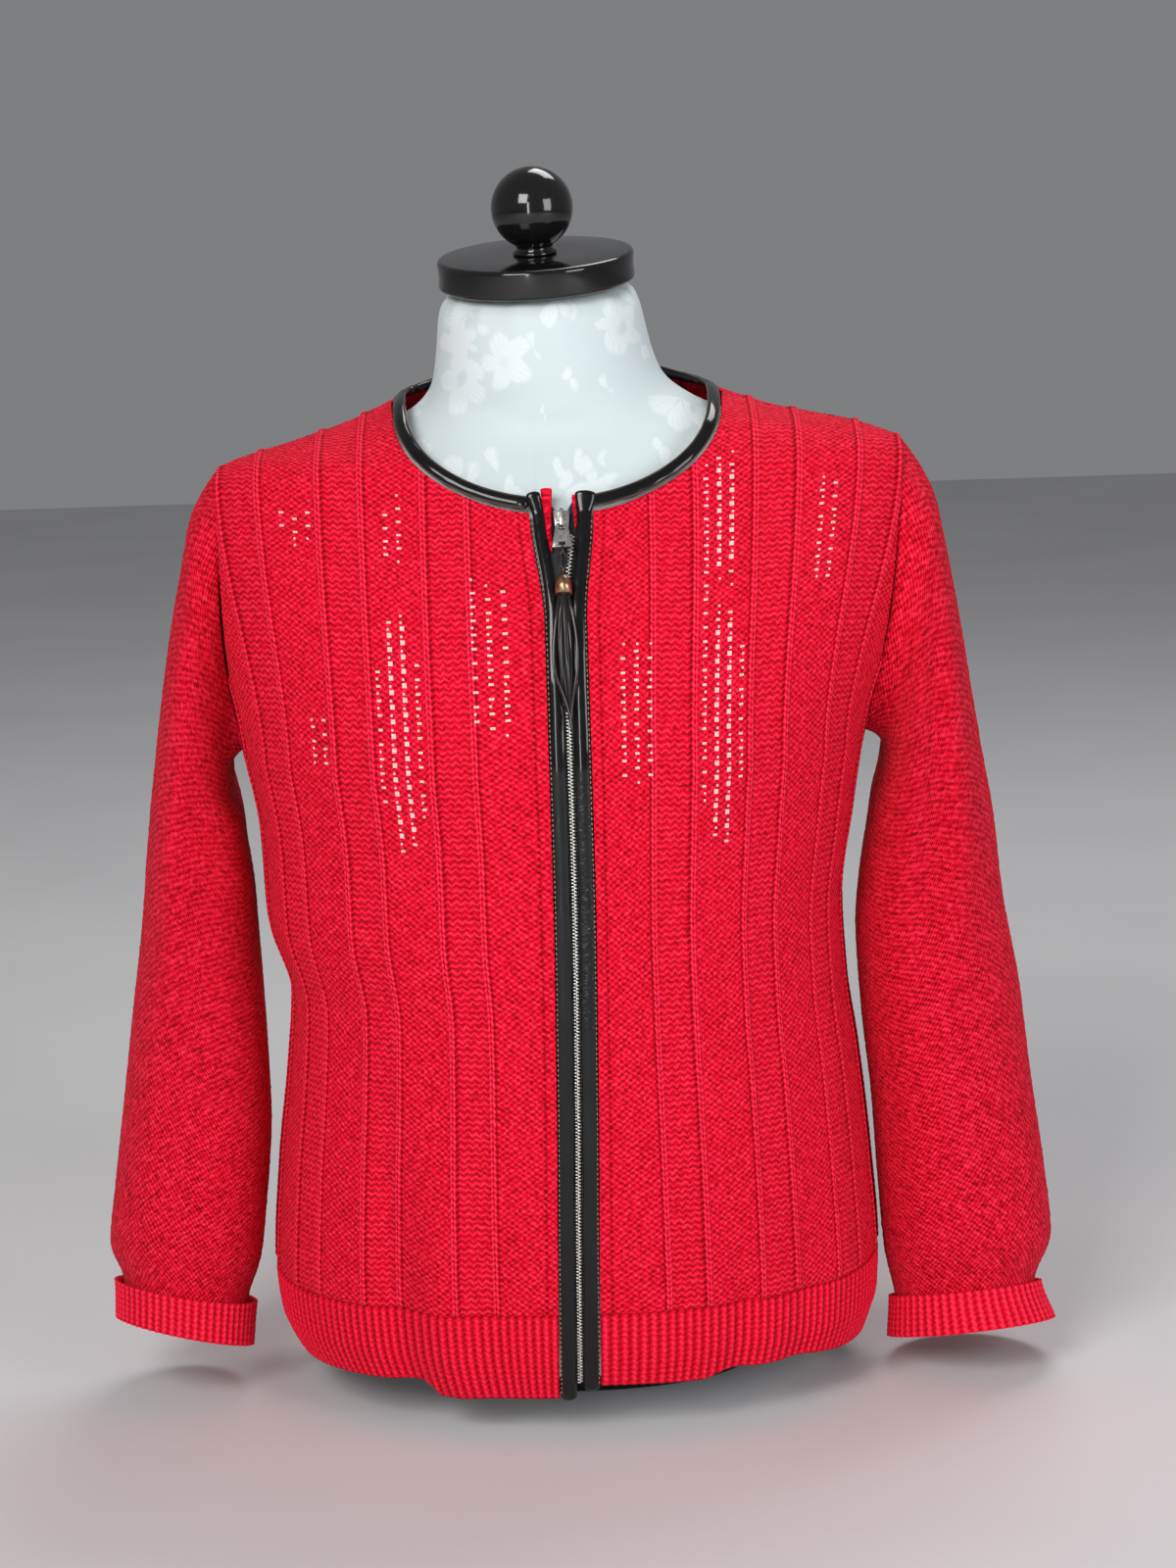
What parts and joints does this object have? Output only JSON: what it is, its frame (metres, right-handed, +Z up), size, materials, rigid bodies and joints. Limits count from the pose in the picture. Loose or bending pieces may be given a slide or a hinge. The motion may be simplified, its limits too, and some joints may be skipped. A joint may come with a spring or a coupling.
{
  "type": "zip-up sweater on a limbless dress form",
  "caption": "Knitted zip-up sweater with leather edges, ribbed hem and turned-back cuffs, worn by a limbless dress form that stands on a low foot.",
  "frame": {"origin": "centre of the underside of the dress form's foot, on the surface that it stands on", "axes": "+Z up; -Y is the garment's front, where the zip is; +X is the wearer's left, which is the viewer's right from the front"},
  "size_m": [0.5668, 0.2545, 0.7186],
  "materials": {
    "red_knit": "soft knitted cotton",
    "black_leather": "glossy, padded",
    "black_tape": "woven zip tape",
    "steel": "worn nickel",
    "aged_brass": "polished, slightly aged",
    "white_cover": "white figured jersey",
    "black_gloss": "black lacquer"
  },
  "bodies": {
    "garment": {"front_right": "red_knit", "front_left": "red_knit", "back": "red_knit", "hem_right": "red_knit", "hem_left": "red_knit", "hem_back": "red_knit", "sleeve_right": "red_knit", "sleeve_left": "red_knit", "cuff_right": "red_knit", "cuff_left": "red_knit", "neck_binding": "black_leather", "zip_facing_right": "black_leather", "zip_facing_left": "black_leather", "zip_tape_right": "black_tape", "zip_tape_left": "black_tape", "zip_chain": "steel", "zip_slider": "steel", "form_body": "white_cover", "form_cap": "black_gloss", "form_ball": "black_gloss", "form_foot": "black_gloss"},
    "pull": {"zip_pull": "steel", "tassel_loop": "black_leather", "tassel_bell": "aged_brass", "tassel": "black_leather"}
  },
  "joints": [
    {"name": "pull_swing", "type": "hinge", "parent": "garment", "child": "pull", "pos_m": [0.0012, -0.09571, 0.52271], "axis": [-1, 0, 0], "range_deg": [0, 120]}
  ]
}
